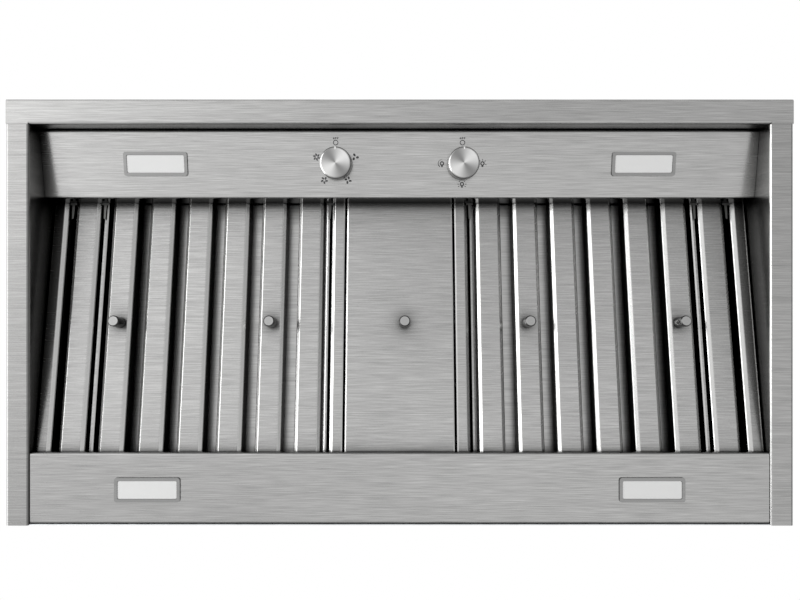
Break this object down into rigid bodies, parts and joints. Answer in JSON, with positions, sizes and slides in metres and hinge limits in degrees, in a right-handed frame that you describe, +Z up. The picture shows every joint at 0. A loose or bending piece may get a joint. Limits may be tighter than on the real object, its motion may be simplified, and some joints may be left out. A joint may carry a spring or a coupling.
{
  "type": "range hood insert",
  "caption": "Built-in range hood insert: folded steel casing with lift-out baffle filters, sloped control panel with rotary knobs, slim lamps, blower and round duct collar.",
  "frame": {"origin": "centre of the rim's underside, the face that shows from below when the insert is fitted", "axes": "+X to the cook's right, +Y towards the wall, +Z up towards the duct"},
  "size_m": [0.9144, 0.4952, 0.3103],
  "materials": {
    "brushed_stainless": "long-grain brushed stainless sheet, grain along the width",
    "galvanised_steel": "zinc-coated sheet, dull grey with faint spangle",
    "turned_steel": "turned stainless, satin",
    "spun_steel": "stainless with a spun face and a polished edge",
    "satin_bezel": "satin stainless",
    "frosted_lens": "opal, satin",
    "black_moulding": "fine-textured moulding",
    "motor_paint": "satin black paint"
  },
  "bodies": {
    "casing": {"front_panel": "brushed_stainless", "left_side_panel": "brushed_stainless", "right_side_panel": "brushed_stainless", "back_panel": "galvanised_steel", "top_plate": "galvanised_steel", "rear_light_panel": "brushed_stainless", "rear_filter_stop": "galvanised_steel", "control_panel": "brushed_stainless", "front_left_lamp_housing": "satin_bezel", "front_left_lamp_lens": "frosted_lens", "front_right_lamp_housing": "satin_bezel", "front_right_lamp_lens": "frosted_lens", "rear_left_lamp_housing": "satin_bezel", "rear_left_lamp_lens": "frosted_lens", "rear_right_lamp_housing": "satin_bezel", "rear_right_lamp_lens": "frosted_lens", "fan_switch": "black_moulding", "light_switch": "black_moulding", "left_side_filler": "brushed_stainless", "right_side_filler": "brushed_stainless", "centre_channel": "brushed_stainless", "duct_collar": "galvanised_steel", "damper_pin": "turned_steel", "blower_scroll": "galvanised_steel", "blower_left_plate": "galvanised_steel", "blower_right_plate": "galvanised_steel", "blower_motor": "motor_paint", "junction_box": "galvanised_steel", "lamp_driver": "black_moulding", "left_hanging_rail": "galvanised_steel", "right_hanging_rail": "galvanised_steel"},
    "fan_control": {"fan_switch_shaft": "turned_steel", "fan_knob": "spun_steel"},
    "light_control": {"light_switch_shaft": "turned_steel", "light_knob": "spun_steel"},
    "left_filter": {"left_filter_frame": "brushed_stainless", "left_filter_baffle_1": "brushed_stainless", "left_filter_baffle_2": "brushed_stainless", "left_filter_baffle_3": "brushed_stainless", "left_filter_baffle_4": "brushed_stainless", "left_filter_outer_handle_baffle": "turned_steel", "left_filter_inner_handle_baffle": "turned_steel", "left_filter_rear_baffle": "brushed_stainless", "left_filter_outer_handle": "turned_steel", "left_filter_inner_handle": "turned_steel"},
    "right_filter": {"right_filter_frame": "brushed_stainless", "right_filter_baffle_1": "brushed_stainless", "right_filter_baffle_2": "brushed_stainless", "right_filter_baffle_3": "brushed_stainless", "right_filter_baffle_4": "brushed_stainless", "right_filter_outer_handle_baffle": "turned_steel", "right_filter_inner_handle_baffle": "turned_steel", "right_filter_rear_baffle": "brushed_stainless", "right_filter_outer_handle": "turned_steel", "right_filter_inner_handle": "turned_steel"},
    "centre_cover": {"centre_panel": "brushed_stainless", "centre_panel_handle": "turned_steel"},
    "front_flap": {"front_damper_flap": "galvanised_steel"},
    "rear_flap": {"rear_damper_flap": "galvanised_steel"},
    "fan_wheel": {"impeller": "galvanised_steel"}
  },
  "joints": [
    {"name": "fan_knob_turn", "type": "hinge", "parent": "casing", "child": "fan_control", "pos_m": [-0.076, -0.17845, 0.02635], "axis": [0, -0.1329, 0.9911], "range_deg": [0, 288]},
    {"name": "light_knob_turn", "type": "hinge", "parent": "casing", "child": "light_control", "pos_m": [0.076, -0.17845, 0.02635], "axis": [0, -0.1329, 0.9911], "range_deg": [0, 270]},
    {"name": "left_filter_slide", "type": "slide", "parent": "casing", "child": "left_filter", "axis": [0, -0.9905, 0.1374], "range_m": [0, 0.014]},
    {"name": "right_filter_slide", "type": "slide", "parent": "casing", "child": "right_filter", "axis": [0, -0.9905, 0.1374], "range_m": [0, 0.014]},
    {"name": "centre_panel_slide", "type": "slide", "parent": "casing", "child": "centre_cover", "axis": [0, -0.9905, 0.1374], "range_m": [0, 0.014]},
    {"name": "front_flap_hinge", "type": "hinge", "parent": "casing", "child": "front_flap", "pos_m": [0, 0.04, 0.2692], "axis": [-1, 0, 0], "range_deg": [0, 70]},
    {"name": "rear_flap_hinge", "type": "hinge", "parent": "casing", "child": "rear_flap", "pos_m": [0, 0.04, 0.2692], "axis": [1, 0, 0], "range_deg": [0, 70]},
    {"name": "impeller_spin", "type": "hinge", "parent": "casing", "child": "fan_wheel", "pos_m": [0, -0.01, 0.16], "axis": [1, 0, 0], "continuous": true}
  ],
  "couplings": [
    {"joint": "rear_flap_hinge", "follows": "front_flap_hinge", "ratio": 1}
  ]
}
